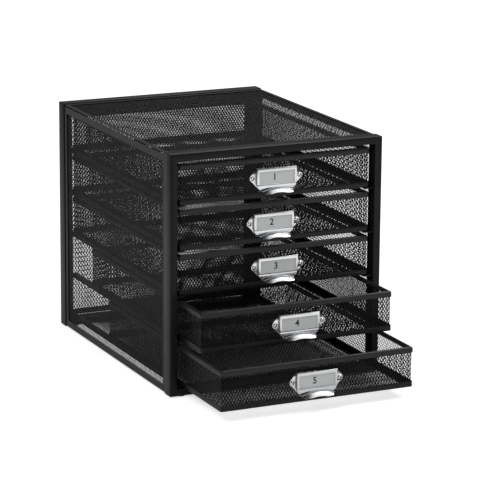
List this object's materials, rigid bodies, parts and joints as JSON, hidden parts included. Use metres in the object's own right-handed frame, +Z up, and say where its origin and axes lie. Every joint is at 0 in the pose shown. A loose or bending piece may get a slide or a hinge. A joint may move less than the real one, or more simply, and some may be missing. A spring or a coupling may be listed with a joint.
{
  "type": "desktop drawer cabinet",
  "caption": "Desktop cabinet of black expanded metal with folded sheet frames and shallow sliding mesh drawers, each with a chromed card-frame cup pull.",
  "frame": {"origin": "On the surface that the cabinet stands on, in the middle of the bounding box of everything, with the fourth and fifth drawers open as stored.", "axes": "+Z is up, +X is to the right of someone facing the drawers, and the drawers open towards -Y."},
  "size_m": [0.275, 0.4734, 0.2916],
  "materials": {
    "cabinet_sheet": "black satin paint on folded steel sheet",
    "cabinet_mesh": "black satin paint on expanded steel",
    "drawer_sheet": "black satin paint on folded steel strip",
    "drawer_mesh": "black satin paint on expanded steel",
    "foot_rubber": "plain black rubber",
    "pull_chrome": "bright plated pressed steel",
    "label_card": "plain white card",
    "rivet_chrome": "bright plated steel rivet"
  },
  "bodies": {
    "cabinet": {"front_frame": "cabinet_sheet", "rear_frame": "cabinet_sheet", "left_side_trim": "cabinet_sheet", "left_side_mesh": "cabinet_mesh", "right_side_trim": "cabinet_sheet", "right_side_mesh": "cabinet_mesh", "top_trim": "cabinet_sheet", "top_mesh": "cabinet_mesh", "back_trim": "cabinet_sheet", "back_mesh": "cabinet_mesh", "foot_front_left": "foot_rubber", "foot_front_right": "foot_rubber", "foot_rear_left": "foot_rubber", "foot_rear_right": "foot_rubber", "runner_left_1": "cabinet_sheet", "runner_left_2": "cabinet_sheet", "runner_left_3": "cabinet_sheet", "runner_left_4": "cabinet_sheet", "runner_left_5": "cabinet_sheet", "runner_right_1": "cabinet_sheet", "runner_right_2": "cabinet_sheet", "runner_right_3": "cabinet_sheet", "runner_right_4": "cabinet_sheet", "runner_right_5": "cabinet_sheet"},
    "drawer_1": {"drawer_1_rim": "drawer_sheet", "drawer_1_basket": "drawer_mesh", "drawer_1_base_band": "drawer_sheet", "drawer_1_pull": "pull_chrome", "drawer_1_card": "label_card", "drawer_1_rivets": "rivet_chrome"},
    "drawer_2": {"drawer_2_rim": "drawer_sheet", "drawer_2_basket": "drawer_mesh", "drawer_2_base_band": "drawer_sheet", "drawer_2_pull": "pull_chrome", "drawer_2_card": "label_card", "drawer_2_rivets": "rivet_chrome"},
    "drawer_3": {"drawer_3_rim": "drawer_sheet", "drawer_3_basket": "drawer_mesh", "drawer_3_base_band": "drawer_sheet", "drawer_3_pull": "pull_chrome", "drawer_3_card": "label_card", "drawer_3_rivets": "rivet_chrome"},
    "drawer_4": {"drawer_4_rim": "drawer_sheet", "drawer_4_basket": "drawer_mesh", "drawer_4_base_band": "drawer_sheet", "drawer_4_pull": "pull_chrome", "drawer_4_card": "label_card", "drawer_4_rivets": "rivet_chrome"},
    "drawer_5": {"drawer_5_rim": "drawer_sheet", "drawer_5_basket": "drawer_mesh", "drawer_5_base_band": "drawer_sheet", "drawer_5_pull": "pull_chrome", "drawer_5_card": "label_card", "drawer_5_rivets": "rivet_chrome"}
  },
  "joints": [
    {"name": "drawer_1_slide", "type": "slide", "parent": "cabinet", "child": "drawer_1", "axis": [0, -1, 0], "range_m": [0, 0.26]},
    {"name": "drawer_2_slide", "type": "slide", "parent": "cabinet", "child": "drawer_2", "axis": [0, -1, 0], "range_m": [0, 0.26]},
    {"name": "drawer_3_slide", "type": "slide", "parent": "cabinet", "child": "drawer_3", "axis": [0, -1, 0], "range_m": [0, 0.26]},
    {"name": "drawer_4_slide", "type": "slide", "parent": "cabinet", "child": "drawer_4", "axis": [0, -1, 0], "range_m": [-0.0625, 0.1975]},
    {"name": "drawer_5_slide", "type": "slide", "parent": "cabinet", "child": "drawer_5", "axis": [0, -1, 0], "range_m": [-0.1175, 0.1425]}
  ]
}
